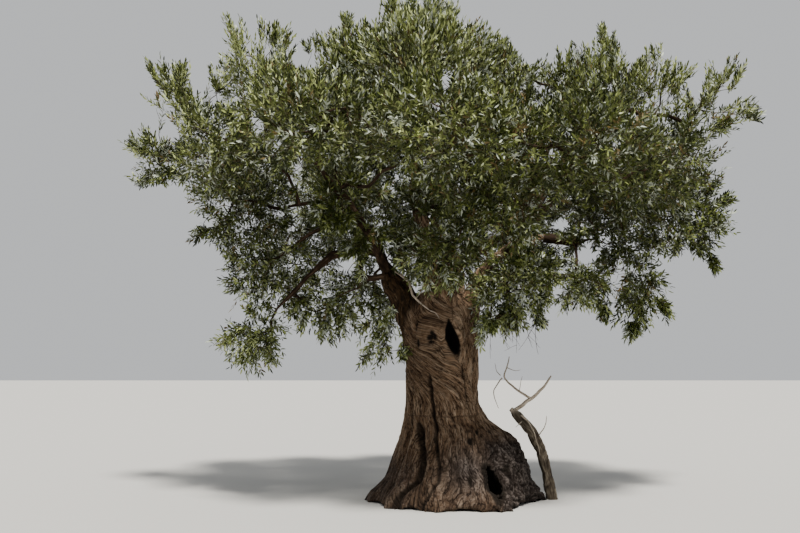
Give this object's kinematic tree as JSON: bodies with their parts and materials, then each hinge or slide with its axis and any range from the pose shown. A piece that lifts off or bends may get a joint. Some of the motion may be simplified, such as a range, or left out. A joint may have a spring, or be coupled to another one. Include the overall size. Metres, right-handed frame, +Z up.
{
  "type": "olive tree",
  "caption": "Old olive tree with a short hollowed trunk, a wide root flare, crooked boughs and a broad uneven crown of narrow grey-green leaves.",
  "frame": {"origin": "middle of the flat cut under the trunk, at ground level", "axes": "+Z up; X along the crown's greatest width; -Y towards the side with the knot hole"},
  "size_m": [7.7011, 5.4933, 5.9897],
  "materials": {
    "bark": "matt furrowed grey-brown bark with pale weathered patches and dark clefts",
    "dead_wood": "matt bleached bare wood",
    "foliage": "narrow leathery leaves, olive green above with a slight sheen, silvery below"
  },
  "bodies": {
    "root": {"trunk": "bark", "arch_high": "bark", "arch_low": "bark", "arm_fall": "bark", "arm_root": "bark", "dead_snag": "dead_wood", "dead_sucker": "dead_wood", "leader_back": "bark", "leader_centre": "bark", "leader_front": "bark", "leader_left": "bark", "leader_right": "bark", "limb_back_left": "bark", "limb_back_right": "bark", "limb_centre": "bark", "limb_front_left": "bark", "limb_front_right": "bark", "limb_right": "bark", "limb_right_high": "bark", "stem_left": "bark", "foliage_arm_curtain": "foliage", "foliage_arm_tuft": "foliage", "foliage_back_centre": "foliage", "foliage_back_far_left": "foliage", "foliage_back_far_right": "foliage", "foliage_back_left": "foliage", "foliage_back_low_left": "foliage", "foliage_back_low_right": "foliage", "foliage_back_right": "foliage", "foliage_front_centre": "foliage", "foliage_front_far_right": "foliage", "foliage_front_left": "foliage", "foliage_front_low": "foliage", "foliage_front_right": "foliage", "foliage_heart_left": "foliage", "foliage_heart_right": "foliage", "foliage_left_crest": "foliage", "foliage_left_flank": "foliage", "foliage_left_hollow": "foliage", "foliage_left_inner": "foliage", "foliage_left_low": "foliage", "foliage_left_shoulder": "foliage", "foliage_left_skirt": "foliage", "foliage_left_tip": "foliage", "foliage_peak": "foliage", "foliage_right_crest": "foliage", "foliage_right_flank": "foliage", "foliage_right_hanging": "foliage", "foliage_right_heart": "foliage", "foliage_right_low": "foliage", "foliage_right_shoulder": "foliage", "foliage_right_skirt": "foliage", "foliage_right_tip": "foliage", "foliage_top_back": "foliage", "foliage_top_front": "foliage", "foliage_top_left": "foliage", "foliage_top_right": "foliage", "foliage_trunk_front_low": "foliage", "foliage_trunk_right_low": "foliage", "foliage_trunk_sprig": "foliage"}
  },
  "joints": []
}
